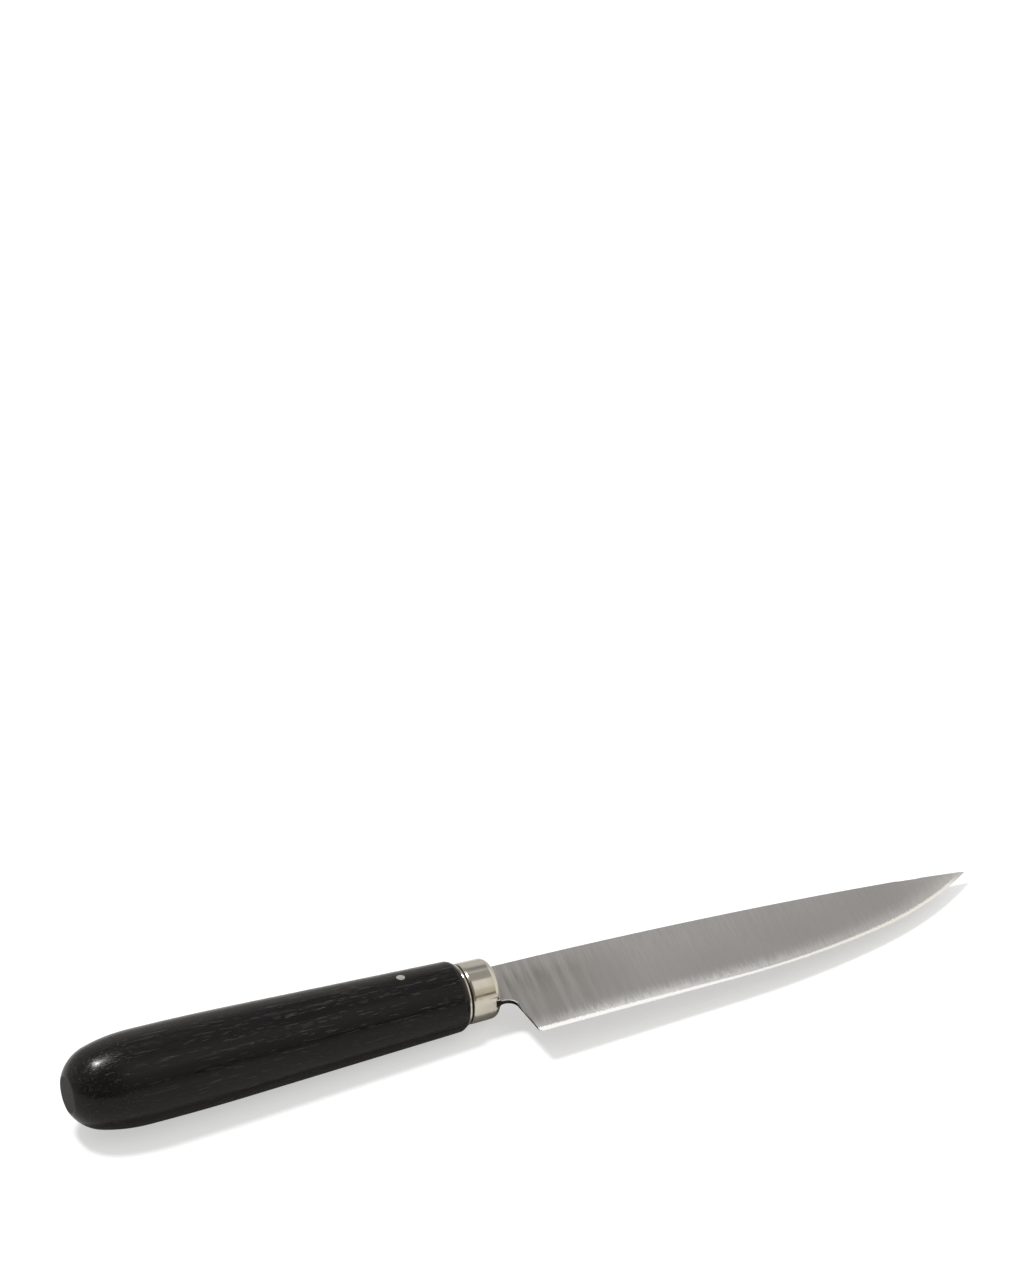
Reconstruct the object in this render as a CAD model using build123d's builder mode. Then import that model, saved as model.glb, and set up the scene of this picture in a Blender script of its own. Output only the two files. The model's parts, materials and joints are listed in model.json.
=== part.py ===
from build123d import *
import os
from math import cos, radians, sin, tan

os.makedirs("parts", exist_ok=True)

# A paring knife with a turned grip, lying on its side with the cutting edge to -Y.
# Stations run along the grip's axis from the wood's front shoulder: forward to the
# point of the blade, and behind it to the butt. Rises run from the axis towards the
# spine, and drops from the axis towards the cutting edge. All lengths are in mm.

# Grip: a straight taper that swells to its fullest round, then a domed butt
grip_length = 92.2
grip_front_radius = 7.97
taper_angle = 2.25
swell_length = 23.2
dome_length = 16.2
nose_length = 1.6
butt_shoulder_drop = 1.35
butt_shoulder_depth = 6.0
butt_flat_radius = 4.25

# Ferrule: a drawn cap, stepped in from the wood, with a chamfered bead, a groove and
# a body that is rounded at both ends
ferrule_length = 8.0
ferrule_step = 1.02
ferrule_draft = 0.1
ferrule_wall = 0.6
ferrule_cap = 1.5
rim_round = 1.45
rim_reach = 1.6
bead_height = 0.2
bead_chamfer = 0.12
bead_width = 0.55
groove_width = 0.3
groove_depth = 0.4
shoulder_reach = 1.1

# Blade: one ground piece from the tang to the point. The shares give the points that
# its outline runs through, as parts of its length and of the spine's rise or the
# heel's drop.
blade_length = 120.5
spine_thickness = 1.74
edge_thickness = 0.34
forward_thickness = 0.84
tip_thickness = 0.24
bevel_angle = 8.0
spine_rise = 6.3
spine_mid_shares = (0.30, 0.85)
spine_late_shares = (0.60, 0.50)
neck_length = 2.5
neck_drop = 6.9
heel_drop = 20.6
edge_mid_shares = (0.43, 0.961)
belly_shares = (0.74, 0.757)
tip_drop = 2.15
choil_radius = 2.2
heel_round = 0.9
plunge_reach = 0.9
plunge_step = 0.03
plunge_angle = 60.0
point_edge_shares = (0.80, 0.65)
point_back_shares = (0.865, 0.0)

# Tang: the part of the blade that the ferrule and the grip hide
tang_length = 55.0
tang_root_height = 8.4
tang_end_height = 5.0
tang_step = 0.15
tang_corner = 1.5

# Bedding between the tang and the grip's mortise, and the cross pin
bedding_above = 0.6
bedding_beside = 0.75
bedding_behind = 2.0
pin_station = 13.7
pin_diameter = 2.15

# Fits and cutting overrun
tenon_clearance = 0.03
tenon_end_gap = 0.1
slot_clearance = 0.06
pin_clearance = 0.02
overrun = 5.0
bevel_reach = 12.0

# What follows from these sizes
lay = radians(taper_angle)
grip_full_station = grip_length - dome_length
swell_station = grip_full_station - swell_length
ferrule_back_radius = grip_front_radius - ferrule_step
ferrule_front_radius = ferrule_back_radius - ferrule_draft
bead_radius = ferrule_back_radius + bead_height
tip_station = ferrule_length + blade_length
shoulder_station = ferrule_length - ferrule_cap
tenon_length = shoulder_station - tenon_end_gap
bore_radius = ferrule_front_radius - ferrule_wall
tenon_radius = bore_radius - tenon_clearance
stock_thickness = spine_thickness + 2 * plunge_step
tang_thickness = stock_thickness - 2 * tang_step
mortise_height = tang_root_height + 2 * bedding_above
mortise_width = tang_thickness + 2 * bedding_beside
mortise_depth = tang_length + bedding_behind


def grip_radius(station):
    """The taper's radius, at a station behind the front shoulder."""
    return grip_front_radius + station * tan(lay)


# The swell leaves the taper smoothly and is level where the grip is fullest
grip_full_radius = grip_radius(swell_station) + swell_length * tan(lay / 2)

# The knife's own plane: X along the axis to the point, Y to the spine, Z square to
# the blade. It is tipped by the grip's taper, so that the grip lies on its straight
# underside, and set so that the bounding box's bottom centre is the origin.
reach_ahead = tip_station * cos(lay)
reach_behind = grip_length * cos(lay) + butt_flat_radius * sin(lay)
knife = Plane(
    origin=(
        (reach_behind - reach_ahead) / 2,
        (heel_drop - grip_full_radius) / 2,
        grip_front_radius * cos(lay),
    ),
    x_dir=(cos(lay), 0, -sin(lay)),
    z_dir=(sin(lay), 0, cos(lay)),
)
turning = Plane(origin=knife.origin, x_dir=knife.x_dir, z_dir=-knife.y_dir)
axis = Axis(knife.origin, knife.x_dir)


def mortise(end_station):
    """Outline of the pocket for the tang, from its bottom to a station."""
    length = end_station + mortise_depth
    with Locations((end_station - length / 2, 0)):
        Rectangle(length, mortise_height)


# Grip
with BuildPart() as grip:
    with BuildSketch(turning):
        with BuildLine():
            taper = Line(
                (-nose_length, grip_radius(nose_length)),
                (-swell_station, grip_radius(swell_station)),
            )
            swell = TangentArc(
                taper @ 1, (-grip_full_station, grip_full_radius), tangent=taper % 1
            )
            shoulder = TangentArc(
                swell @ 1,
                (butt_shoulder_depth - grip_length, grip_full_radius - butt_shoulder_drop),
                tangent=(-1, 0),
            )
            dome = TangentArc(
                shoulder @ 1, (-grip_length, butt_flat_radius), tangent=shoulder % 1
            )
            nose = TangentArc(taper @ 0, (0, bead_radius), tangent=(taper % 0) * -1)
            Polyline(
                dome @ 1,
                (-grip_length, 0),
                (tenon_length, 0),
                (tenon_length, tenon_radius),
                (0, tenon_radius),
                nose @ 1,
            )
        make_face()
    revolve(axis=axis)
    with BuildSketch(knife):
        mortise(tenon_length + overrun)
    extrude(amount=mortise_width / 2, both=True, mode=Mode.SUBTRACT)
    with BuildSketch(knife):
        with Locations((-pin_station, 0)):
            Circle(pin_diameter / 2 + pin_clearance)
    extrude(amount=grip_full_radius, both=True, mode=Mode.SUBTRACT)

# Ferrule
with BuildPart() as ferrule:
    bead_shoulder = bead_radius - bead_chamfer
    groove_radius = ferrule_back_radius - groove_depth
    body_start = bead_width + groove_width
    with BuildSketch(turning):
        with BuildLine():
            bead = Polyline(
                (0, bead_shoulder),
                (bead_chamfer, bead_radius),
                (bead_width - bead_chamfer, bead_radius),
                (bead_width, bead_shoulder),
            )
            rim = EllipticalCenterArc(
                (ferrule_length - rim_reach, ferrule_front_radius - rim_round),
                rim_reach,
                rim_round,
                arc_size=90,
            )
            body = Line((body_start + shoulder_reach, ferrule_back_radius), rim @ 1)
            back_round = TangentArc(
                body @ 0, (body_start, groove_radius), tangent=(body % 0) * -1
            )
            Polyline(bead @ 1, (bead_width, groove_radius), back_round @ 1)
            Polyline(
                rim @ 0,
                (ferrule_length, 0),
                (shoulder_station, 0),
                (shoulder_station, bore_radius),
                (0, bore_radius),
                bead @ 0,
            )
        make_face()
    revolve(axis=axis)
    slot_top = spine_rise + slot_clearance
    slot_bottom = ferrule_back_radius + overrun
    with BuildSketch(knife):
        with Locations((shoulder_station, slot_top)):
            Rectangle(
                ferrule_cap + overrun, slot_top + slot_bottom, align=(Align.MIN, Align.MAX)
            )
    extrude(amount=stock_thickness / 2 + slot_clearance, both=True, mode=Mode.SUBTRACT)

# Blade
root = (ferrule_length, spine_rise)
heel = (ferrule_length + neck_length, -heel_drop)
tip = (tip_station, -tip_drop)


def on_blade(shares, height):
    """Point of the outline, by its shares of the blade's length and of a height."""
    return (ferrule_length + shares[0] * blade_length, shares[1] * height)


def ground_flat(side):
    """Plane of one ground face, with its origin at the heel and X along the knife."""
    at_root = knife.from_local_coords((*root, side * spine_thickness / 2))
    at_heel = knife.from_local_coords((*heel, side * edge_thickness / 2))
    at_tip = knife.from_local_coords((*tip, side * forward_thickness / 2))
    square = (at_tip - at_heel).cross(at_root - at_heel)
    return Plane(origin=at_heel, x_dir=knife.x_dir, z_dir=square * side)


def on_ground(side, place):
    """Point of a ground face that lies square over a point of the outline."""
    flat = ground_flat(side)
    under = knife.from_local_coords((*place, 0))
    rise = (flat.origin - under).dot(flat.z_dir) / knife.z_dir.dot(flat.z_dir)
    return under + knife.z_dir * rise


def point_flat(side):
    """Plane of the finer face at the point, which meets the ground face in a line."""
    low = on_ground(side, on_blade(point_edge_shares, -heel_drop))
    high = on_ground(side, on_blade(point_back_shares, spine_rise))
    at_tip = knife.from_local_coords((*tip, side * tip_thickness / 2))
    square = (at_tip - low).cross(high - low)
    return Plane(origin=low, x_dir=knife.x_dir, z_dir=square * side)


with BuildPart() as blade:
    # Outline: the back and the edge each run up to the point in smooth arcs
    with BuildSketch(knife):
        with BuildLine():
            straight = Line(heel, on_blade(edge_mid_shares, -heel_drop))
            belly = TangentArc(
                straight @ 1, on_blade(belly_shares, -heel_drop), tangent=straight % 1
            )
            sweep_up = TangentArc(belly @ 1, tip, tangent=belly % 1)
            back = ThreePointArc(
                (shoulder_station, spine_rise),
                on_blade(spine_mid_shares, spine_rise),
                on_blade(spine_late_shares, spine_rise),
            )
            TangentArc(back @ 1, tip, tangent=back % 1)
            Polyline(
                back @ 0,
                (shoulder_station, -neck_drop),
                (heel[0], -neck_drop),
                heel,
            )
        make_face()
        fillet(vertices().sort_by_distance((heel[0], -neck_drop))[0], choil_radius)
        fillet(vertices().sort_by_distance(heel)[0], heel_round)
    extrude(amount=stock_thickness / 2, both=True)

    # Full flat grind on each side, with a sloped plunge just ahead of the ferrule
    for side in (1, -1):
        with BuildSketch(ground_flat(side)):
            with Locations((plunge_reach - neck_length, 0)):
                Rectangle(
                    blade_length + overrun,
                    2 * (heel_drop + spine_rise + overrun),
                    align=(Align.MIN, Align.CENTER),
                )
        extrude(amount=stock_thickness / 2, taper=-plunge_angle, mode=Mode.SUBTRACT)

    # The point is ground finer, on a flat that starts where the edge sweeps up
    for side in (1, -1):
        with BuildSketch(point_flat(side)):
            Rectangle(blade_length, blade_length)
        extrude(amount=stock_thickness / 2, mode=Mode.SUBTRACT)

    # Cutting bevels: walls that lean in from the edge, kept clear of all the rest
    with BuildSketch(knife):
        with BuildLine():
            ahead = Line(tip, sweep_up @ 1 + (sweep_up % 1) * bevel_reach)
            behind = Line(heel, straight @ 0 - (straight % 0) * (tang_length + bevel_reach))
            far_rise = spine_rise + bevel_reach
            Polyline(
                ahead @ 1,
                ((ahead @ 1).X, far_rise),
                ((behind @ 1).X, far_rise),
                behind @ 1,
            )
            add([straight, belly, sweep_up])
        make_face()
    extrude(amount=stock_thickness / 2, taper=90 - bevel_angle, both=True, mode=Mode.INTERSECT)

    # Tang, square to the shoulders, with its corners taken off and a hole for the pin
    with BuildSketch(knife):
        with BuildLine():
            Polyline(
                (shoulder_station, tang_root_height / 2),
                (-tang_length, tang_end_height / 2),
                (-tang_length, -tang_end_height / 2),
                (shoulder_station, -tang_root_height / 2),
                close=True,
            )
        make_face()
        fillet(vertices().sort_by(Axis.X)[:2], tang_corner)
        with Locations((-pin_station, 0)):
            Circle(pin_diameter / 2 + pin_clearance, mode=Mode.SUBTRACT)
    extrude(amount=tang_thickness / 2, both=True)

# Cross pin, flush with the grip's taper on both sides
with BuildPart() as cross_pin:
    with BuildSketch(knife):
        with Locations((-pin_station, 0)):
            Circle(pin_diameter / 2)
    extrude(amount=grip_full_radius, both=True)
    with BuildSketch(turning):
        Polygon(
            (-pin_station - pin_diameter, 0),
            (-pin_station - pin_diameter, grip_radius(pin_station + pin_diameter)),
            (-pin_station + pin_diameter, grip_radius(pin_station - pin_diameter)),
            (-pin_station + pin_diameter, 0),
            align=None,
        )
    revolve(axis=axis, mode=Mode.INTERSECT)

# Bedding: the set compound that fills the mortise round the tang
with BuildPart() as tang_bedding:
    with BuildSketch(knife):
        mortise(tenon_length)
    extrude(amount=mortise_width / 2, both=True)
    with BuildSketch(knife):
        with Locations((-pin_station, 0)):
            Circle(pin_diameter / 2 + pin_clearance)
    extrude(amount=mortise_width / 2, both=True, mode=Mode.SUBTRACT)
    add(blade.part, mode=Mode.SUBTRACT)

pieces = {
    "blade": blade,
    "ferrule": ferrule,
    "handle": grip,
    "handle_pin": cross_pin,
    "tang_bedding": tang_bedding,
}
for name, piece in pieces.items():
    piece.part.label = name
    export_step(piece.part, f"parts/{name}.step")
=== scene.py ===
import json
from math import atan2, cos, pi, radians, sin, tan

import bmesh
import bpy
from mathutils import Matrix, Vector


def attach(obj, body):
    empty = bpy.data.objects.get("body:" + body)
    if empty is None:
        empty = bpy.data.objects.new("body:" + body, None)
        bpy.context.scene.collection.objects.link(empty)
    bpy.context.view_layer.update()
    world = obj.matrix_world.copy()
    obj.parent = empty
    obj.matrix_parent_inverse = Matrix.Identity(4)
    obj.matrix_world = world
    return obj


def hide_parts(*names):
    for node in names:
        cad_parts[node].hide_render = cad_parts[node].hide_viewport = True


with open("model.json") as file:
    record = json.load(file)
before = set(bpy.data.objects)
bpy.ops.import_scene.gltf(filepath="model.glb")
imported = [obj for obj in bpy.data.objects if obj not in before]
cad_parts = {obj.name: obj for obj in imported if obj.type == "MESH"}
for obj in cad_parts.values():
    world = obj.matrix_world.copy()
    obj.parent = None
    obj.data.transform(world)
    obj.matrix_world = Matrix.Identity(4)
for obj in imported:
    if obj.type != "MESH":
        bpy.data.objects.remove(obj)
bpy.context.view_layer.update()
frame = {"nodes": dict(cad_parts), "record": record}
print("frame loaded:", sorted(frame["nodes"]))

# The knife's own directions: X from the wood's front to the point, Y to the spine, Z up off
# the blade. Every piece is shaped along them in mm, then put in the frame in one go.
bladeCover = next(m for m in frame["record"]["mounts"] if m["name"] == "blade_cover")
ferruleLength = 8.0
mm = 0.001
alongKnife = Vector(bladeCover["axis"]).normalized()
toSpine = Vector((0, 1, 0))
offBlade = alongKnife.cross(toSpine)
woodFront = Vector(bladeCover["pos_m"]) - alongKnife * ferruleLength * mm
knifeTurn = Matrix((alongKnife, toSpine, offBlade)).transposed()
knifePlace = Matrix.Translation(woodFront) @ knifeTurn.to_4x4() @ Matrix.Scale(mm, 4)
# how far a cutting tool runs past what it cuts, in mm
overshoot = 1.0


# helpers for shaping

def clearSelection():
    if bpy.context.mode != "OBJECT":
        bpy.ops.object.mode_set(mode="OBJECT")
    bpy.ops.object.select_all(action="DESELECT")


def pick(piece):
    clearSelection()
    piece.select_set(True)
    bpy.context.view_layer.objects.active = piece


def arcFrom(start, lead, end, count):
    # points after start, on the circle that leaves it along lead and runs through end
    start, lead, end = Vector(start), Vector(lead).normalized(), Vector(end)
    left = Vector((-lead.y, lead.x))
    chord = end - start
    radius = chord.length_squared / (2 * chord.dot(left))
    turn = 2 * atan2(chord.dot(left), chord.dot(lead))
    centre = start + left * radius
    return [
        centre + Matrix.Rotation(turn * i / count, 2) @ (start - centre)
        for i in range(1, count + 1)
    ]


def arcEnd(start, lead, end):
    # the direction in which that circle reaches end
    lead = Vector(lead).normalized()
    chord = Vector(end) - Vector(start)
    turn = 2 * atan2(chord.dot(Vector((-lead.y, lead.x))), chord.dot(lead))
    return Matrix.Rotation(turn, 2) @ lead


def leadThrough(a, b, c):
    # the direction at a of the circle through a, b and c
    a, b, c = Vector(a), Vector(b), Vector(c)
    ab, ac = b - a, c - a
    cross = 2 * (ab.x * ac.y - ab.y * ac.x)
    toCentre = Vector((
        ac.y * ab.length_squared - ab.y * ac.length_squared,
        ab.x * ac.length_squared - ac.x * ab.length_squared,
    )) / cross
    lead = Vector((toCentre.y, -toCentre.x))
    return lead if lead.dot(ab) > 0 else -lead


def drawLine(name, points):
    # one vertex, extruded from point to point, left in edit mode
    clearSelection()
    spots = [Vector((p[0], p[1], 0)) for p in points]
    bpy.ops.mesh.primitive_plane_add(size=1, location=spots[0])
    piece = bpy.context.object
    piece.name = name
    bpy.ops.object.mode_set(mode="EDIT")
    bpy.ops.mesh.select_mode(type="VERT")
    bpy.ops.mesh.select_all(action="SELECT")
    bpy.ops.mesh.merge(type="CENTER")
    for here, there in zip(spots, spots[1:]):
        bpy.ops.mesh.extrude_region_move(TRANSFORM_OT_translate={"value": there - here})
    return piece


def settle(piece):
    pick(piece)
    bpy.ops.object.transform_apply(location=True, rotation=True, scale=True)


def drawSheet(name, outline):
    # a flat face inside the outline, left in edit mode
    piece = drawLine(name, outline)
    bpy.ops.mesh.select_all(action="SELECT")
    bpy.ops.mesh.edge_face_add()
    return piece


def closeUp(piece):
    # faces turned outward, then out of edit mode
    bpy.ops.mesh.select_all(action="SELECT")
    bpy.ops.mesh.normals_make_consistent(inside=False)
    settle(piece)


def turnOnLathe(name, profile, steps):
    # profile holds (place along the knife, radius)
    piece = drawLine(name, profile)
    bpy.ops.mesh.select_all(action="SELECT")
    bpy.ops.mesh.spin(steps=steps, angle=2 * pi, center=(0, 0, 0), axis=(1, 0, 0))
    bpy.ops.mesh.select_all(action="SELECT")
    bpy.ops.mesh.remove_doubles(threshold=0.0005)
    closeUp(piece)
    return piece


def box(name, low, high):
    clearSelection()
    low, high = Vector(low), Vector(high)
    bpy.ops.mesh.primitive_cube_add(size=1, location=(low + high) / 2, scale=high - low)
    piece = bpy.context.object
    piece.name = name
    settle(piece)
    return piece


def rod(name, radius, place, length, sides=64):
    clearSelection()
    bpy.ops.mesh.primitive_cylinder_add(
        vertices=sides, radius=radius, depth=length, location=place
    )
    piece = bpy.context.object
    piece.name = name
    settle(piece)
    return piece


def cutWith(piece, tool, operation="DIFFERENCE"):
    pick(piece)
    cut = piece.modifiers.new("cut", "BOOLEAN")
    cut.operation = operation
    cut.solver = "EXACT"
    cut.object = tool
    bpy.ops.object.modifier_apply(modifier=cut.name)
    bpy.data.objects.remove(tool)


def selectParts(piece, kind, wanted):
    # into edit mode, with only the vertices, edges or faces that wanted(part) names selected
    pick(piece)
    bpy.ops.object.mode_set(mode="EDIT")
    bpy.ops.mesh.select_mode(type=kind)
    bpy.ops.mesh.select_all(action="DESELECT")
    net = bmesh.from_edit_mesh(piece.data)
    for part in {"VERT": net.verts, "EDGE": net.edges, "FACE": net.faces}[kind]:
        if wanted(part):
            part.select = True
    bmesh.update_edit_mesh(piece.data)


def easeEdges(piece, wanted, width, segments=3, clamp=True):
    # rounds the edges that wanted(edge) names
    selectParts(piece, "EDGE", lambda e: len(e.link_faces) == 2 and wanted(e))
    bpy.ops.mesh.bevel(offset=width, segments=segments, affect="EDGES", clamp_overlap=clamp)
    bpy.ops.object.mode_set(mode="OBJECT")


def roundCorner(piece, corner, radius, segments):
    # rounds one corner of a flat outline, in edit mode
    bpy.ops.mesh.select_mode(type="VERT")
    bpy.ops.mesh.select_all(action="DESELECT")
    net = bmesh.from_edit_mesh(piece.data)
    spot = Vector((corner[0], corner[1], 0)) - piece.location
    min(net.verts, key=lambda v: (v.co - spot).length).select = True
    bmesh.update_edit_mesh(piece.data)
    bpy.ops.mesh.bevel(offset=radius, segments=segments, affect="VERTICES")


def finishPiece(piece, node, smooth):
    # smooth shading up to an angle, then into the frame, in place of its CAD node
    pick(piece)
    bpy.ops.object.shade_smooth_by_angle(angle=radians(smooth))
    piece.matrix_world = knifePlace
    bpy.ops.object.transform_apply(location=True, rotation=True, scale=True)
    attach(piece, "root")
    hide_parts(node)
    print("made", piece.name, len(piece.data.polygons), "faces")


def middle(edge):
    return (edge.verts[0].co + edge.verts[1].co) / 2


# handle: turned dark wood, lying on its straight underside

wood = {
    "length": 92.2,
    "frontRadius": 7.97,
    "taper": 2.25,
    "swell": 23.2,
    "dome": 16.2,
    "nose": 1.6,
    "buttShoulderDrop": 1.35,
    "buttShoulderDepth": 6.0,
    "buttRadius": 4.25,
    "buttEase": 0.35,
    "shoulderRadius": 7.15,
    "tenonLength": 6.4,
    "tenonRadius": 6.22,
    "mortiseHeight": 9.6,
    "mortiseWidth": 3.0,
    "mortiseDepth": 57.0,
    "pinStation": 13.7,
    "pinHoleRadius": 1.095,
    "pinDrillLength": 30,
    "sides": 180,
}


def woodRadius(station):
    return wood["frontRadius"] + station * tan(radians(wood["taper"]))


def drillPinHole(piece):
    place = (-wood["pinStation"], 0, 0)
    cutWith(piece, rod("pinDrill", wood["pinHoleRadius"], place, wood["pinDrillLength"]))


def makeHandle():
    slope = radians(wood["taper"])
    full = wood["length"] - wood["dome"]
    swellStart = full - wood["swell"]
    fullRadius = woodRadius(swellStart) + wood["swell"] * tan(slope / 2)
    tenon = wood["tenonLength"]
    noseStart = (-wood["nose"], woodRadius(wood["nose"]))
    noseEnd = (0, wood["shoulderRadius"])
    nose = [noseStart, *arcFrom(noseStart, (cos(slope), -sin(slope)), noseEnd, 12)]
    swellFoot = (-swellStart, woodRadius(swellStart))
    fullest = (-full, fullRadius)
    shoulder = (
        wood["buttShoulderDepth"] - wood["length"],
        fullRadius - wood["buttShoulderDrop"],
    )
    butt = (-wood["length"], wood["buttRadius"])
    profile = [(tenon, 0), (tenon, wood["tenonRadius"]), (0, wood["tenonRadius"])]
    profile += nose[::-1]
    profile += [swellFoot]
    profile += arcFrom(swellFoot, (-cos(slope), sin(slope)), fullest, 10)
    profile += arcFrom(fullest, (-1, 0), shoulder, 14)
    profile += arcFrom(shoulder, arcEnd(fullest, (-1, 0), shoulder), butt, 16)
    profile += [(-wood["length"], 0)]
    piece = turnOnLathe("handleWood", profile, wood["sides"])
    easeEdges(
        piece,
        lambda e: abs(middle(e).x + wood["length"]) < 0.001
        and abs(middle(e).yz.length - wood["buttRadius"]) < 0.01,
        wood["buttEase"],
    )
    half = Vector((0, wood["mortiseHeight"], wood["mortiseWidth"])) / 2
    back = Vector((-wood["mortiseDepth"], 0, 0))
    front = Vector((tenon + overshoot, 0, 0))
    cutWith(piece, box("mortiseTool", back - half, front + half))
    drillPinHole(piece)
    finishPiece(piece, "handle", 30)
    return piece


# ferrule: a drawn cap with a bead and a groove, rounded at both ends

ferrule = {
    "backRadius": 6.95,
    "frontRadius": 6.85,
    "boreRadius": 6.25,
    "cap": 1.5,
    "beadRadius": 7.15,
    "beadWidth": 0.55,
    "beadFullness": 0.62,
    "beadEase": 0.05,
    "grooveWidth": 0.3,
    "grooveRadius": 6.55,
    "shoulderReach": 1.1,
    "rimReach": 1.6,
    "rimRound": 1.45,
    "slotTop": 6.36,
    "slotHalf": 0.96,
    "slotBottom": -12.0,
    "slotSink": 0.03,
    "sharpTurn": 50,
    "edgeEase": 0.05,
    "sides": 180,
}


def makeFerrule():
    bead, groove = ferrule["beadWidth"], ferrule["grooveRadius"]
    body = bead + ferrule["grooveWidth"]
    rimBack = ferruleLength - ferrule["rimReach"]
    rimLow = ferrule["frontRadius"] - ferrule["rimRound"]
    capBack = ferruleLength - ferrule["cap"]
    beadSide = ferrule["beadRadius"] - bead / 2 * ferrule["beadFullness"]
    profile = [(capBack, 0), (capBack, ferrule["boreRadius"]), (0, ferrule["boreRadius"])]
    profile += [(0, beadSide - ferrule["beadEase"])]
    profile += [  # a half-round bead
        (
            bead / 2 * (1 - cos(pi * i / 12)),
            beadSide + (ferrule["beadRadius"] - beadSide) * sin(pi * i / 12),
        )
        for i in range(13)
    ]
    profile += [(bead, groove), (body, groove)]
    shoulderTop = (body + ferrule["shoulderReach"], ferrule["backRadius"])
    slope = (ferrule["frontRadius"] - ferrule["backRadius"]) / (rimBack - shoulderTop[0])
    shoulder = arcFrom(shoulderTop, (-1, -slope), (body, groove), 10)
    profile += [*shoulder[-2::-1], shoulderTop]
    profile += [  # the rim, a quarter of an ellipse
        (
            rimBack + ferrule["rimReach"] * sin(pi / 2 * i / 20),
            rimLow + ferrule["rimRound"] * cos(pi / 2 * i / 20),
        )
        for i in range(21)
    ]
    profile += [(ferruleLength, 0)]
    piece = turnOnLathe("ferruleCap", profile, ferrule["sides"])
    slotHalf = Vector((0, 0, ferrule["slotHalf"]))
    low = Vector((capBack - ferrule["slotSink"], ferrule["slotBottom"], 0)) - slotHalf
    high = Vector((ferruleLength + overshoot, ferrule["slotTop"], 0)) + slotHalf
    cutWith(piece, box("slotTool", low, high))

    def isOuterCorner(edge):
        spot = middle(edge)
        outside = spot.yz.length > ferrule["boreRadius"] + 0.1 or spot.x > capBack + 0.1
        return edge.calc_face_angle() > radians(ferrule["sharpTurn"]) and spot.x > 0.1 and outside

    easeEdges(piece, isOuterCorner, ferrule["edgeEase"], 2)
    finishPiece(piece, "ferrule", 35)
    return piece


# blade: flat ground from spine to edge, with a cutting bevel on each side and a tang

blade = {
    "length": 120.5,
    "shoulderStation": 6.5,
    "spineRise": 6.3,
    "spineMid": (0.30, 0.85),
    "spineLate": (0.60, 0.50),
    "tipDrop": 2.15,
    "neckLength": 2.5,
    "neckDrop": 6.9,
    "heelDrop": 20.6,
    "edgeMid": (0.43, 0.961),
    "belly": (0.74, 0.757),
    "choil": 2.2,
    "heelRound": 0.9,
    "rootHalf": 0.9,
    "spineHalf": 0.87,
    "heelHalf": 0.17,
    "forwardHalf": 0.42,
    "tipHalf": 0.12,
    "pointEdge": (0.80, 0.65),
    "pointBack": (0.865, 0.0),
    "bevelAngle": 8.0,
    "groundFrom": -0.5,
    "edgeEase": 0.09,
    "neckEase": 0.22,
    "neckThick": 0.4,
    "tangLength": 55.0,
    "tangHalf": 0.75,
    "tangRootHeight": 8.4,
    "tangEndHeight": 5.0,
    "tangCorner": 1.5,
}


def onBlade(share, height):
    return Vector((ferruleLength + share[0] * blade["length"], share[1] * height))


heelPoint = Vector((ferruleLength + blade["neckLength"], -blade["heelDrop"]))
edgeMid = onBlade(blade["edgeMid"], -blade["heelDrop"])
bellyPoint = onBlade(blade["belly"], -blade["heelDrop"])
tipPoint = Vector((ferruleLength + blade["length"], -blade["tipDrop"]))
edgeLead = (edgeMid - heelPoint).normalized()
bellyLead = arcEnd(edgeMid, edgeLead, bellyPoint)
tipLead = arcEnd(bellyPoint, bellyLead, tipPoint)


def makeBlank():
    # the half above the middle: true at the back, the neck and the choil, and left
    # proud below, where the bevel will set the edge
    root = Vector((blade["shoulderStation"], blade["spineRise"]))
    mid = onBlade(blade["spineMid"], blade["spineRise"])
    late = onBlade(blade["spineLate"], blade["spineRise"])
    backLead = leadThrough(root, mid, late)
    lateLead = arcEnd(root, backLead, late)
    proud = 3.0
    outline = [root, *arcFrom(root, backLead, late, 40), *arcFrom(late, lateLead, tipPoint, 48)]
    outline += [tipPoint + arcEnd(late, lateLead, tipPoint) * proud]
    outline += [
        Vector((tipPoint.x + proud, heelPoint.y - proud)),
        heelPoint,
        Vector((heelPoint.x, -blade["neckDrop"])),
        Vector((blade["shoulderStation"], -blade["neckDrop"])),
    ]
    piece = drawSheet("bladeSteel", outline)
    roundCorner(piece, (heelPoint.x, -blade["neckDrop"]), blade["choil"], 32)
    roundCorner(piece, heelPoint, blade["heelRound"], 20)
    bpy.ops.mesh.select_all(action="SELECT")
    rise = blade["rootHalf"]
    bpy.ops.mesh.extrude_region_move(TRANSFORM_OT_translate={"value": (0, 0, rise)})
    closeUp(piece)
    return piece


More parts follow.
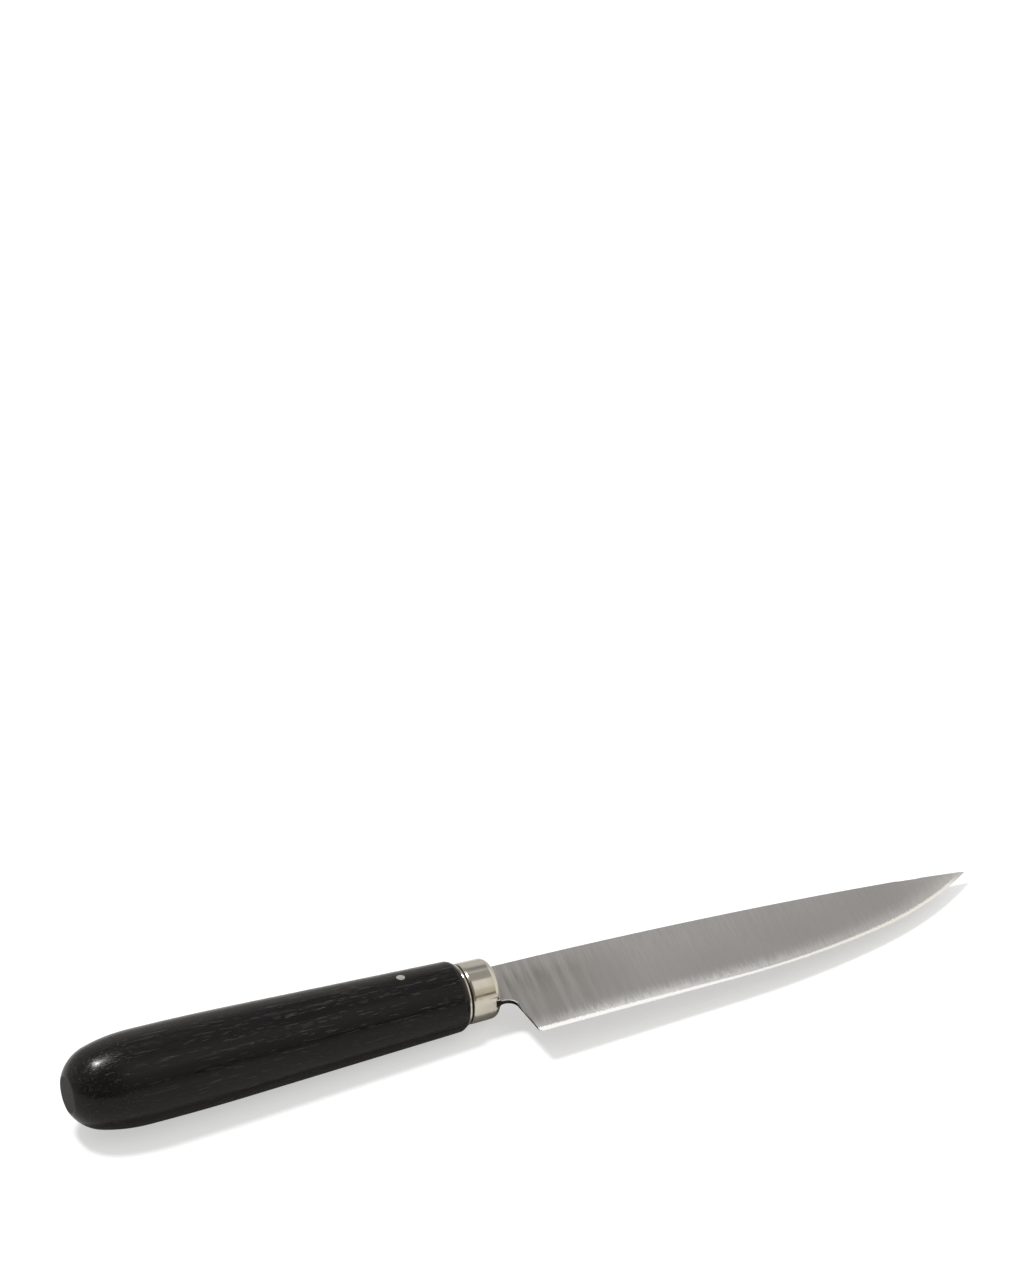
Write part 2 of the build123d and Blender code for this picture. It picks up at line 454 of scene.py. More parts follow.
def makeBevelTool():
    # a sheet whose walls lean in from the cutting edge at the bevel's angle
    reach = 14.0
    far = blade["spineRise"] + reach + 20.0
    start, end = heelPoint - edgeLead * reach, tipPoint + tipLead * reach
    outline = [
        start,
        *[heelPoint.lerp(edgeMid, i / 12) for i in range(13)],
        *arcFrom(edgeMid, edgeLead, bellyPoint, 40),
        *arcFrom(bellyPoint, bellyLead, tipPoint, 44),
        end,
        Vector((end.x, far)),
        Vector((start.x, far)),
    ]
    piece = drawSheet("bevelTool", outline)
    net = bmesh.from_edit_mesh(piece.data)
    if net.faces[:][0].normal.z < 0:
        bpy.ops.mesh.flip_normals()
    height = 1.0
    lean = height / tan(radians(blade["bevelAngle"]))
    bpy.ops.mesh.inset(thickness=lean, depth=height, use_boundary=True, use_even_offset=True)
    bpy.ops.mesh.select_all(action="DESELECT")
    bpy.ops.mesh.select_mode(type="EDGE")
    bpy.ops.mesh.select_non_manifold()
    bpy.ops.mesh.edge_face_add()
    closeUp(piece)
    return piece


def grinderOn(atA, atB, atC, back):
    # a block that lies on the face through three points, from back forward
    square = (atC - atB).cross(atA - atB).normalized()
    lengthwise = (Vector((1, 0, 0)) - square * square.x).normalized()
    front, side, thickness = 160, 60, 8
    piece = box("grinder", (back, -side, 0), (front, side, thickness))
    turn = Matrix((lengthwise, square.cross(lengthwise), square)).transposed().to_4x4()
    piece.matrix_world = Matrix.Translation(atB) @ turn
    settle(piece)
    return piece


def makeGrinders():
    # one for the main ground face, from inside the ferrule's slot on, and one for the point
    atRoot = Vector((ferruleLength, blade["spineRise"], blade["spineHalf"]))
    atHeel = Vector((*heelPoint, blade["heelHalf"]))
    atFar = Vector((*tipPoint, blade["forwardHalf"]))
    atTip = Vector((*tipPoint, blade["tipHalf"]))
    square = (atFar - atHeel).cross(atRoot - atHeel)

    def onFace(spot):
        under = Vector((*spot, 0))
        return under + Vector((0, 0, (atHeel - under).dot(square) / square.z))

    low = onFace(onBlade(blade["pointEdge"], -blade["heelDrop"]))
    high = onFace(onBlade(blade["pointBack"], blade["spineRise"]))
    back = blade["groundFrom"] - blade["neckLength"]
    return grinderOn(atRoot, atHeel, atFar, back), grinderOn(high, low, atTip, -blade["length"] / 4)


def makeTang():
    half = blade["tangHalf"]
    tall = blade["tangRootHeight"] / 2
    piece = box(
        "tang", (-blade["tangLength"], -tall, -half), (blade["shoulderStation"] + 0.05, tall, half)
    )
    selectParts(piece, "VERT", lambda corner: corner.co.x < 0)
    bpy.ops.transform.resize(
        value=(1, blade["tangEndHeight"] / blade["tangRootHeight"], 1),
        center_override=(-blade["tangLength"], 0, 0),
    )
    bpy.ops.object.mode_set(mode="OBJECT")
    easeEdges(
        piece,
        lambda e: all(v.co.x < 0 for v in e.verts) and abs(middle(e).z) < 0.01,
        blade["tangCorner"],
        8,
    )
    return piece


def keepFlatsCrisp(piece):
    # ground faces meet in lines, so their shading isn't blended
    def isFlatMeeting(edge):
        return all(abs(f.normal.dot(offBlade)) > 0.97 for f in edge.link_faces)

    selectParts(piece, "EDGE", isFlatMeeting)
    bpy.ops.mesh.mark_sharp()
    bpy.ops.object.mode_set(mode="OBJECT")


def makeBlade():
    piece = makeBlank()
    cutWith(piece, makeBevelTool(), "INTERSECT")
    for grinder in makeGrinders():
        cutWith(piece, grinder)

    def isRim(edge):
        leans = [f.normal.z for f in edge.link_faces]
        spot = middle(edge)
        square = min(abs(lean) for lean in leans) < 0.1 and max(leans) > 0.9
        return square and spot.x > blade["shoulderStation"] + 0.1 and spot.z > 0.05

    def isNeck(edge):
        spot = middle(edge)
        return isRim(edge) and spot.y < 0 and spot.z > blade["neckThick"]

    easeEdges(piece, isNeck, blade["neckEase"], 3, False)
    easeEdges(piece, isRim, blade["edgeEase"])
    # open at the middle, then mirrored
    selectParts(piece, "FACE", lambda f: all(abs(v.co.z) < 0.0005 for v in f.verts))
    bpy.ops.mesh.delete(type="FACE")
    bpy.ops.object.mode_set(mode="OBJECT")
    mirror = piece.modifiers.new("otherSide", "MIRROR")
    mirror.use_axis = (False, False, True)
    mirror.merge_threshold = 0.0008
    bpy.ops.object.modifier_apply(modifier=mirror.name)
    cutWith(piece, makeTang(), "UNION")
    drillPinHole(piece)
    finishPiece(piece, "blade", 5)
    keepFlatsCrisp(piece)
    return piece


# cross pin: filed flush with the wood on both sides

pin = {
    "radius": 1.075,
    "length": 24,
    "edgeEase": 0.05,
    "gaugeReach": 4,
    "gaugeSides": 240,
    "sides": 72,
}


def makePin():
    # a rod trimmed by a turned gauge of the wood's own outline
    station = -wood["pinStation"]
    piece = rod("pinHead", pin["radius"], (station, 0, 0), pin["length"], pin["sides"])
    ends = (station - pin["gaugeReach"], station + pin["gaugeReach"])
    gauge = [(ends[0], 0), *((x, woodRadius(-x)) for x in ends), (ends[1], 0)]
    cutWith(piece, turnOnLathe("pinGauge", gauge, pin["gaugeSides"]), "INTERSECT")
    easeEdges(piece, lambda e: e.calc_face_angle() > radians(60), pin["edgeEase"], 2)
    finishPiece(piece, "handle_pin", 30)
    return piece


handleWood = makeHandle()
ferruleCap = makeFerrule()
bladeSteel = makeBlade()
pinHead = makePin()
tangBedding = frame["nodes"]["tang_bedding"]


# materials

def plug(tree, source, socket):
    tree.links.new(source, socket)


def feed(tree, made, sockets):
    # other sockets are linked, anything else is set as the value
    for name, source in sockets.items():
        if isinstance(source, bpy.types.NodeSocket):
            plug(tree, source, made.inputs[name])
        else:
            made.inputs[name].default_value = source


def addNode(tree, kind, sockets=None, **settings):
    made = tree.nodes.new("ShaderNode" + kind)
    for name, value in settings.items():
        setattr(made, name, value)
    feed(tree, made, sockets or {})
    return made


def math(tree, operation, *values, clamp=False):
    sockets = dict(enumerate(values))
    return addNode(tree, "Math", sockets, operation=operation, use_clamp=clamp).outputs[0]


def times(tree, a, b, clamp=False):
    return math(tree, "MULTIPLY", a, b, clamp=clamp)


def plus(tree, a, b):
    return math(tree, "ADD", a, b)


def splitPoint(tree, point):
    return addNode(tree, "SeparateXYZ", {0: point}).outputs


def blendColour(tree, share, a, b):
    made = addNode(tree, "Mix", {0: share, 6: a, 7: b}, data_type="RGBA")
    return made.outputs[2]


def blendValue(tree, share, a, b):
    return addNode(tree, "Mix", {0: share, 2: a, 3: b}, data_type="FLOAT").outputs[0]


def rampValue(tree, value, low, high, fromValue=0.0, toValue=1.0):
    made = addNode(
        tree,
        "MapRange",
        {"Value": value, "From Min": low, "From Max": high, "To Min": fromValue, "To Max": toValue},
        interpolation_type="SMOOTHSTEP",
    )
    return made.outputs[0]


def newGroup(name, inputs, outputs):
    tree = bpy.data.node_groups.new(name, "ShaderNodeTree")
    for label, kind, value in inputs:
        socket = tree.interface.new_socket(label, in_out="INPUT", socket_type="NodeSocket" + kind)
        if value is not None:
            socket.default_value = value
    for label, kind in outputs:
        tree.interface.new_socket(label, in_out="OUTPUT", socket_type="NodeSocket" + kind)
    return tree, tree.nodes.new("NodeGroupInput").outputs, tree.nodes.new("NodeGroupOutput").inputs


def useGroup(tree, group, **sockets):
    made = tree.nodes.new("ShaderNodeGroup")
    made.node_tree = group
    feed(tree, made, sockets)
    return made.outputs


def knifePointGroup():
    # object coordinates turned into mm along the knife
    tree, _, out = newGroup("knifePoint", [], [("Point", "Vector")])
    place = addNode(
        tree,
        "Mapping",
        {
            "Vector": addNode(tree, "TexCoord").outputs["Object"],
            "Location": woodFront,
            "Rotation": (0, -atan2(alongKnife.z, alongKnife.x), 0),
            "Scale": (mm, mm, mm),
        },
        vector_type="TEXTURE",
    )
    plug(tree, place.outputs[0], out["Point"])
    return tree


def streaksGroup():
    # noise drawn out along its own X by Length, and Width across
    tree, given, out = newGroup(
        "streaks",
        [
            ("Point", "Vector", None),
            ("Turn", "Float", 0.0),
            ("Length", "Float", 5.0),
            ("Width", "Float", 0.2),
            ("Detail", "Float", 2.0),
        ],
        [("Value", "Float")],
    )
    turned = addNode(
        tree,
        "VectorRotate",
        {"Vector": given["Point"], "Angle": given["Turn"]},
        rotation_type="Z_AXIS",
    ).outputs[0]
    across = math(tree, "DIVIDE", 1.0, given["Width"])
    stretch = addNode(
        tree,
        "CombineXYZ",
        {"X": math(tree, "DIVIDE", 1.0, given["Length"]), "Y": across, "Z": across},
    ).outputs[0]
    drawn = addNode(tree, "VectorMath", {0: turned, 1: stretch}, operation="MULTIPLY").outputs[0]
    noise = addNode(
        tree, "TexNoise", {"Vector": drawn, "Scale": 1.0, "Detail": given["Detail"]}
    )
    plug(tree, noise.outputs[0], out["Value"])
    return tree


def edgeWearGroup():
    # a mask of the corners that handling has polished, broken up by noise
    tree, given, out = newGroup(
        "edgeWear",
        [("Point", "Vector", None), ("Reach", "Float", 0.0002), ("Amount", "Float", 1.0)],
        [("Mask", "Float")],
    )
    rounded = addNode(tree, "Bevel", {"Radius": given["Reach"]}, samples=6).outputs[0]
    plain = addNode(tree, "NewGeometry").outputs["Normal"]
    match = addNode(tree, "VectorMath", {0: rounded, 1: plain}, operation="DOT_PRODUCT")
    bent = rampValue(tree, match.outputs["Value"], 0.995, 0.90)
    broken = addNode(tree, "TexNoise", {"Vector": given["Point"], "Scale": 1.3, "Detail": 3.0})
    worn = times(tree, bent, rampValue(tree, broken.outputs[0], 0.35, 0.6, 0.4, 1.0))
    plug(tree, times(tree, worn, given["Amount"], clamp=True), out["Mask"])
    return tree


def facingGroup():
    # how squarely the surface faces a direction, from -1 to 1
    tree, given, out = newGroup("facing", [("Direction", "Vector", None)], [("Share", "Float")])
    plain = addNode(tree, "NewGeometry").outputs["True Normal"]
    match = addNode(tree, "VectorMath", {0: plain, 1: given["Direction"]}, operation="DOT_PRODUCT")
    plug(tree, match.outputs["Value"], out["Share"])
    return tree


def smudgesGroup():
    # soft cloudy patches, as fingers and cloths leave
    tree, given, out = newGroup(
        "smudges",
        [("Point", "Vector", None), ("Size", "Float", 12.0), ("Sharpness", "Float", 0.2)],
        [("Mask", "Float")],
    )
    scale = math(tree, "DIVIDE", 1.0, given["Size"])
    noise = addNode(
        tree, "TexNoise", {"Vector": given["Point"], "Scale": scale, "Detail": 3.0}
    ).outputs[0]
    low = math(tree, "SUBTRACT", 0.5, given["Sharpness"])
    high = plus(tree, 0.5, given["Sharpness"])
    plug(tree, rampValue(tree, noise, low, high), out["Mask"])
    return tree


knifePoint = knifePointGroup()
streaks = streaksGroup()
edgeWear = edgeWearGroup()
smudges = smudgesGroup()
facing = facingGroup()


def newMaterial(name):
    made = bpy.data.materials.new(name)
    made.use_nodes = True
    tree = made.node_tree
    shader = next(n for n in tree.nodes if n.type == "BSDF_PRINCIPLED")
    return made, tree, shader


def addStreaks(tree, point, look):
    return useGroup(tree, streaks, Point=point, **look)["Value"]


def addBump(tree, shader, height, look):
    sockets = {"Strength": look["bump"], "Distance": look["bumpDepth"], "Height": height}
    plug(tree, addNode(tree, "Bump", sockets).outputs[0], shader.inputs["Normal"])


# In the looks below, two numbers say where a ramp starts and ends, two more its values there.
# Places are in mm: along the knife, in from the cutting edge, or for the pin's ring from its rim.

woodLook = {
    "deep": (0.0045, 0.0043, 0.0049, 1),
    "warm": (0.0078, 0.0069, 0.0067, 1),
    "pore": (0.043, 0.040, 0.035, 1),
    # the butt's end grain: its own paler colour, with a painted sheen
    "endGrainAndSheen": (0.045, 0.044, 0.043, 1),
    "bands": {"Length": 60.0, "Width": 2.4, "Detail": 3.0},
    "bandTone": (0.35, 0.68, 0.0, 0.65),
    "fibres": {"Length": 9.0, "Width": 0.2, "Detail": 3.0},
    "fibreTone": (0.4, 0.75, 0.0, 0.5),
    "dashes": {"Length": 4.6, "Width": 0.11, "Detail": 0.0},
    "poreRows": {"Length": 70.0, "Width": 0.5, "Detail": 0.0},
    "poreLimit": (0.45, 0.72, 0.80, 0.60),
    "poreEdge": (0.0, 0.03),
    "flecks": {"Length": 3.2, "Width": 0.16, "Detail": 2.0},
    "fleckRoughness": (0.45, 0.58, 0.0, 0.16),
    "hands": {"Size": 9.0, "Sharpness": 0.15},
    "buttFacing": (0.97, 0.995),
    "gloss": 0.25,
    "roughness": (0.11, 0.18),
    "poreRoughness": 0.25,
    "endRoughness": 0.8,
    "fibreRise": 0.3,
    "poreDrop": 0.8,
    "bump": 0.16,
    "bumpDepth": 0.00005,
}


def darkWood():
    made, tree, shader = newMaterial("darkWood")
    shader.inputs["Specular IOR Level"].default_value = woodLook["gloss"]
    point = useGroup(tree, knifePoint)["Point"]
    bands = addStreaks(tree, point, woodLook["bands"])
    fibres = addStreaks(tree, point, woodLook["fibres"])
    # the pores stand in thin rows along the grain
    dashes = addStreaks(tree, point, woodLook["dashes"])
    rows = addStreaks(tree, point, woodLook["poreRows"])
    limit = rampValue(tree, rows, *woodLook["poreLimit"])
    pores = rampValue(tree, math(tree, "SUBTRACT", dashes, limit), *woodLook["poreEdge"])
    tone = plus(
        tree,
        rampValue(tree, bands, *woodLook["bandTone"]),
        rampValue(tree, fibres, *woodLook["fibreTone"]),
    )
    body = blendColour(tree, tone, woodLook["deep"], woodLook["warm"])
    body = blendColour(tree, pores, body, woodLook["pore"])
    # the butt's end grain is paler: its own rougher grain, with a painted sheen in its colour
    towardsButt = useGroup(tree, facing, Direction=-alongKnife)["Share"]
    endGrainAndSheen = rampValue(tree, towardsButt, *woodLook["buttFacing"])
    plug(tree, blendColour(tree, endGrainAndSheen, body, woodLook["endGrainAndSheen"]), shader.inputs["Base Color"])
    # open pores break the shine up into short dashes
    flecks = addStreaks(tree, point, woodLook["flecks"])
    dull = plus(
        tree,
        times(tree, pores, woodLook["poreRoughness"]),
        rampValue(tree, flecks, *woodLook["fleckRoughness"]),
    )
    hands = useGroup(tree, smudges, Point=point, **woodLook["hands"])["Mask"]
    handled = rampValue(tree, hands, 0.0, 1.0, *woodLook["roughness"])
    polished = plus(tree, handled, dull)
    rough = blendValue(tree, endGrainAndSheen, polished, woodLook["endRoughness"])
    plug(tree, rough, shader.inputs["Roughness"])
    raised = plus(
        tree,
        times(tree, fibres, woodLook["fibreRise"]),
        times(tree, flecks, woodLook["fibreRise"]),
    )
    sunk = times(tree, pores, woodLook["poreDrop"])
    addBump(tree, shader, math(tree, "SUBTRACT", raised, sunk), woodLook)
    return made


ferruleLook = {
    "metal": (0.80, 0.765, 0.69, 1),
    "film": (0.60, 0.54, 0.45, 1),
    # grime and painted shade, for the groove and the corner against the wood
    "grimeAndShade": (0.022, 0.018, 0.014, 1),
    "worn": (0.93, 0.90, 0.85, 1),
    "ringScale": 5.0,
    "ringRise": 0.5,
    "scratches": {"Turn": 0.9, "Length": 3.0, "Width": 0.05, "Detail": 1.0},
    "scratchLimit": (0.6, 0.8),
    "scratchRoughness": 0.12,
    "scratchRise": 0.3,
    "smudges": {"Size": 3.5, "Sharpness": 0.22},
    "filmShare": 0.25,
    "grooveBack": (0.41, 0.49),
    "grooveFront": (1.30, 1.08),
    "woodCorner": (0.09, 0.0),
    "dirtAndShade": 0.96,
    "dirtRoughness": 0.6,
    "wear": {"Reach": 0.00012, "Amount": 0.6},
    "roughness": (0.10, 0.18),
    "bump": 0.12,
    "bumpDepth": 0.00003,
}


def paleFerrule():
    made, tree, shader = newMaterial("paleFerrule")
    shader.inputs["Metallic"].default_value = 1.0
    point = useGroup(tree, knifePoint)["Point"]
    parts = splitPoint(tree, point)
    # lathe rings depend on the place along the axis only
    ringPoint = addNode(tree, "CombineXYZ", {"X": parts["X"]}).outputs[0]
    ringNoise = {"Vector": ringPoint, "Scale": ferruleLook["ringScale"], "Detail": 4.0}
    rings = addNode(tree, "TexNoise", ringNoise).outputs[0]
    scratches = addStreaks(tree, point, ferruleLook["scratches"])
    film = useGroup(tree, smudges, Point=point, **ferruleLook["smudges"])["Mask"]
    # grime and painted shade sit in the groove and in the corner against the wood
    groove = times(
        tree,
        rampValue(tree, parts["X"], *ferruleLook["grooveBack"]),
        rampValue(tree, parts["X"], *ferruleLook["grooveFront"]),
    )
    corner = rampValue(tree, parts["X"], *ferruleLook["woodCorner"])
    dirtAndShade = times(tree, math(tree, "MAXIMUM", groove, corner), ferruleLook["dirtAndShade"])
    clouded = times(tree, film, ferruleLook["filmShare"])
    body = blendColour(tree, clouded, ferruleLook["metal"], ferruleLook["film"])
    body = blendColour(tree, dirtAndShade, body, ferruleLook["grimeAndShade"])
    worn = useGroup(tree, edgeWear, Point=point, **ferruleLook["wear"])["Mask"]
    worn = times(tree, worn, math(tree, "SUBTRACT", 1.0, dirtAndShade))
    plug(tree, blendColour(tree, worn, body, ferruleLook["worn"]), shader.inputs["Base Color"])
    shine = rampValue(tree, film, 0.0, 1.0, *ferruleLook["roughness"])
    scratched = rampValue(tree, scratches, *ferruleLook["scratchLimit"])
    scratched = times(tree, scratched, ferruleLook["scratchRoughness"])
    rough = math(
        tree,
        "MAXIMUM",
        plus(tree, shine, scratched),
        times(tree, dirtAndShade, ferruleLook["dirtRoughness"]),
    )
    plug(tree, rough, shader.inputs["Roughness"])
    height = plus(
        tree,
        times(tree, rings, ferruleLook["ringRise"]),
        times(tree, scratches, ferruleLook["scratchRise"]),
    )
    addBump(tree, shader, height, ferruleLook)
    return made


steelLook = {
    "light": (0.70, 0.69, 0.683, 1),
    "dark": (0.50, 0.492, 0.485, 1),
    "heelPatchLight": (0.42, 0.396, 0.364, 1),
    # darker and browner above the heel
    "heelPatchDark": (0.27, 0.254, 0.23, 1),
    "middleShade": (0.52, 0.512, 0.503, 1),
    "rubbed": (0.94, 0.93, 0.915, 1),
    # painted shade on the thickness at the neck and the choil, and a painted highlight on its
    # corner
    "wallShade": (0.03, 0.028, 0.026, 1),
    "wallCornerHighlight": (0.97, 0.97, 0.965, 1),
    "leanBack": 11.0,
    "fine": {"Length": 14.0, "Width": 0.11},
    # painted shade along the middle of the ground face
    "fineTone": (0.3, 0.7, 0.0, 0.55),
    "broad": {"Length": 30.0, "Width": 0.7},
    "broadTone": (0.3, 0.7, 0.05, 0.29),
    "broadRise": 0.4,
    "smudges": {"Size": 16.0, "Sharpness": 0.16},
    "heelPatchAlong": (46.0, 14.0),
    "heelPatchFoot": (2.0, 8.0, 0.3, 1.0),
    "heelPatchTop": (26.0, 18.0, 0.35, 1.0),
    "heelPatchStreaks": {"Length": 26.0, "Width": 1.8},
    "heelPatchTone": (0.36, 0.62, 0.4, 1.1),
    "middleShadeTop": (24.0, 9.0),
    "middleShadeFoot": (2.0, 6.0),
    "middleShadeShare": 0.6,
    # a painted reflection, paler towards the point
    "towardsPoint": (104.0, 128.0, 0.0, 0.38),
    "fringe": {"Length": 4.5, "Width": 0.22},
    "fringeReach": (0.3, 0.7, -1.1, 1.1),
    "rubbedReach": (5.8, 1.3),
    "speckScale": 4.0,
    "speckTone": (0.35, 0.62, 0.65, 1.0),
    "rubbedHeel": (14.0, 30.0, 0.45, 1.0),
    "rubbedPoint": (40.0, 95.0, 1.0, 0.35),
    "frostReach": (3.6, 1.2, 0.0, 0.3),
    "neckEnd": (14.0, 12.0),
    "wallFacing": (0.5, 0.3),
    "cornerFacing": (0.985, 0.95),
    "roughness": (0.31, 0.34),
    "lineRoughness": 0.08,
    "bump": 0.12,
    "bumpDepth": 0.00002,
}


def edgeReachGroup():
    # distance in from the cutting edge, in mm: a straight run, then two arcs
    tree, given, out = newGroup("edgeReach", [("Point", "Vector", None)], [("Reach", "Float")])
    parts = splitPoint(tree, given["Point"])
    flat = addNode(tree, "CombineXYZ", {"X": parts["X"], "Y": parts["Y"]}).outputs[0]
    inward = Vector((-edgeLead.y, edgeLead.x, 0))
    fromHeel = addNode(
        tree, "VectorMath", {0: flat, 1: Vector((*heelPoint, 0))}, operation="SUBTRACT"
    ).outputs[0]
    reach = addNode(
        tree, "VectorMath", {0: fromHeel, 1: inward}, operation="DOT_PRODUCT"
    ).outputs["Value"]
    for start, lead, end in (
        (edgeMid, edgeLead, bellyPoint),
        (bellyPoint, bellyLead, tipPoint),
    ):
        left = Vector((-lead.y, lead.x))
        chord = end - start
        radius = chord.length_squared / (2 * chord.dot(left))
        centre = start + left * radius
        away = addNode(
            tree, "VectorMath", {0: flat, 1: Vector((*centre, 0))}, operation="DISTANCE"
        ).outputs["Value"]
        inside = math(tree, "SUBTRACT", radius, away)
        past = math(tree, "GREATER_THAN", parts["X"], start.x)
        reach = blendValue(tree, past, reach, inside)
    plug(tree, reach, out["Reach"])
    return tree


edgeReach = edgeReachGroup()


def grindingLines(tree, point, name):
    # lines from the spine to the edge, leaning back a little
    across = pi / 2 - radians(steelLook["leanBack"])
    return addStreaks(tree, point, {"Turn": -across, "Detail": 3.0, **steelLook[name]})


def groundBump(tree, shader, fine, broad):
    height = plus(tree, fine, times(tree, broad, steelLook["broadRise"]))
    addBump(tree, shader, height, steelLook)


def groundSteel():
    made, tree, shader = newMaterial("groundSteel")
    point = useGroup(tree, knifePoint)["Point"]
    along = splitPoint(tree, point)["X"]
    reach = useGroup(tree, edgeReach, Point=point)["Reach"]
    fine = grindingLines(tree, point, "fine")
    broad = grindingLines(tree, point, "broad")
    lines = plus(
        tree,
        rampValue(tree, fine, *steelLook["fineTone"]),
        rampValue(tree, broad, *steelLook["broadTone"]),
    )
    # darker and browner above the heel, in streaks along the grinding lines
    heelPatch = times(
        tree,
        rampValue(tree, along, *steelLook["heelPatchAlong"]),
        rampValue(tree, reach, *steelLook["heelPatchFoot"]),
    )
    heelPatch = times(tree, heelPatch, rampValue(tree, reach, *steelLook["heelPatchTop"]))
    streaked = rampValue(tree, grindingLines(tree, point, "heelPatchStreaks"), *steelLook["heelPatchTone"])
    heelPatch = times(tree, heelPatch, streaked, clamp=True)
    light = blendColour(tree, heelPatch, steelLook["light"], steelLook["heelPatchLight"])
    dark = blendColour(tree, heelPatch, steelLook["dark"], steelLook["heelPatchDark"])
    body = blendColour(tree, lines, light, dark)
    # painted shade makes it a little darker along the middle, and a painted reflection in the
    # rubbed tone makes it paler towards the point
    middleShade = times(
        tree,
        rampValue(tree, reach, *steelLook["middleShadeTop"]),
        rampValue(tree, reach, *steelLook["middleShadeFoot"]),
    )
    middleShade = times(tree, middleShade, steelLook["middleShadeShare"])
    body = blendColour(tree, middleShade, body, steelLook["middleShade"])
    towardsPoint = rampValue(tree, along, *steelLook["towardsPoint"])
    body = blendColour(tree, towardsPoint, body, steelLook["rubbed"])
    # sharpening has rubbed the face beside the bevel in a ragged fringe, and frosted it close by
    fringe = rampValue(tree, grindingLines(tree, point, "fringe"), *steelLook["fringeReach"])
    ragged = plus(tree, reach, fringe)
    speckNoise = {"Vector": point, "Scale": steelLook["speckScale"], "Detail": 3.0}
    specks = addNode(tree, "TexNoise", speckNoise).outputs[0]
    rubbed = times(
        tree,
        rampValue(tree, ragged, *steelLook["rubbedReach"]),
        rampValue(tree, specks, *steelLook["speckTone"]),
    )
    rubbed = times(tree, rubbed, rampValue(tree, along, *steelLook["rubbedHeel"]))
    rubbed = times(tree, rubbed, rampValue(tree, along, *steelLook["rubbedPoint"]))
    body = blendColour(tree, rubbed, body, steelLook["rubbed"])
    frost = times(tree, rubbed, rampValue(tree, ragged, *steelLook["frostReach"]))
    plug(tree, math(tree, "SUBTRACT", 1.0, frost), shader.inputs["Metallic"])
    # painted shade darkens the thickness at the neck and the choil, and a painted highlight lies
    # along its corner
    square = math(tree, "ABSOLUTE", useGroup(tree, facing, Direction=offBlade)["Share"])
    nearNeck = rampValue(tree, along, *steelLook["neckEnd"])
    onWall = rampValue(tree, square, *steelLook["wallFacing"])
    body = blendColour(tree, times(tree, onWall, nearNeck), body, steelLook["wallShade"])
    corner = times(
        tree,
        rampValue(tree, square, *steelLook["cornerFacing"]),
        rampValue(tree, square, *reversed(steelLook["wallFacing"])),
    )
    corner = times(tree, corner, nearNeck)
    body = blendColour(tree, corner, body, steelLook["wallCornerHighlight"])
    plug(tree, body, shader.inputs["Base Color"])
    film = useGroup(tree, smudges, Point=point, **steelLook["smudges"])["Mask"]
    rough = plus(
        tree,
        rampValue(tree, film, 0.0, 1.0, *steelLook["roughness"]),
        times(tree, lines, steelLook["lineRoughness"]),
    )
    plug(tree, rough, shader.inputs["Roughness"])
    groundBump(tree, shader, fine, broad)
    return made


honedLook = {
    # the bevel's near-white is a painted highlight, brightest at the heel
    "heel": (0.97, 0.97, 0.965, 1),
    "point": (0.87, 0.84, 0.78, 1),
    "scratched": (0.70, 0.69, 0.683, 1),
    "soft": (0.44, 0.43, 0.41, 1),
    "along": (50.0, 95.0),
    "scratchTone": (0.3, 0.7, 0.0, 0.25),
    "ragged": (0.3, 0.7, -0.25, 0.25),
    "width": (30.0, 80.0, 1.2, 0.8),
    "innerEdge": (-0.2, 0.25),
    "veryPoint": (121.0, 127.5, 0.0, 0.8),
    "metallic": 0.35,
    "roughness": 0.42,
}


def honedSteelHighlight():
    made, tree, shader = newMaterial("honedSteelHighlight")
    shader.inputs["Metallic"].default_value = honedLook["metallic"]
    shader.inputs["Roughness"].default_value = honedLook["roughness"]
    point = useGroup(tree, knifePoint)["Point"]
    along = splitPoint(tree, point)["X"]
    fine = grindingLines(tree, point, "fine")
    broad = grindingLines(tree, point, "broad")
    # the near-white base colour of the bevel is a painted highlight
    paler = rampValue(tree, along, *honedLook["along"])
    bright = blendColour(tree, paler, honedLook["heel"], honedLook["point"])
    scratched = rampValue(tree, fine, *honedLook["scratchTone"])
    bright = blendColour(tree, scratched, bright, honedLook["scratched"])
    # the honed band is narrow and ragged, and fades out at the very point
    reach = useGroup(tree, edgeReach, Point=point)["Reach"]
    ragged = plus(tree, reach, rampValue(tree, fine, *honedLook["ragged"]))
    width = rampValue(tree, along, *honedLook["width"])
    inner = rampValue(tree, math(tree, "SUBTRACT", ragged, width), *honedLook["innerEdge"])
    soft = math(tree, "MAXIMUM", inner, rampValue(tree, along, *honedLook["veryPoint"]))
    plug(tree, blendColour(tree, soft, bright, honedLook["soft"]), shader.inputs["Base Color"])
    groundBump(tree, shader, fine, broad)
    return made


pinLook = {
    "bright": (0.86, 0.835, 0.79, 1),
    "dull": (0.70, 0.675, 0.63, 1),
    # painted shade round the rim of each end
    "rimShade": (0.03, 0.026, 0.022, 1),
    "ringEdge": (-0.15, -0.07),
    "filed": {"Turn": 0.5, "Length": 3.0, "Width": 0.08, "Detail": 2.0},
    "filedTone": (0.3, 0.7),
    "roughness": (0.26, 0.4),
    "bump": 0.2,
    "bumpDepth": 0.00002,
}


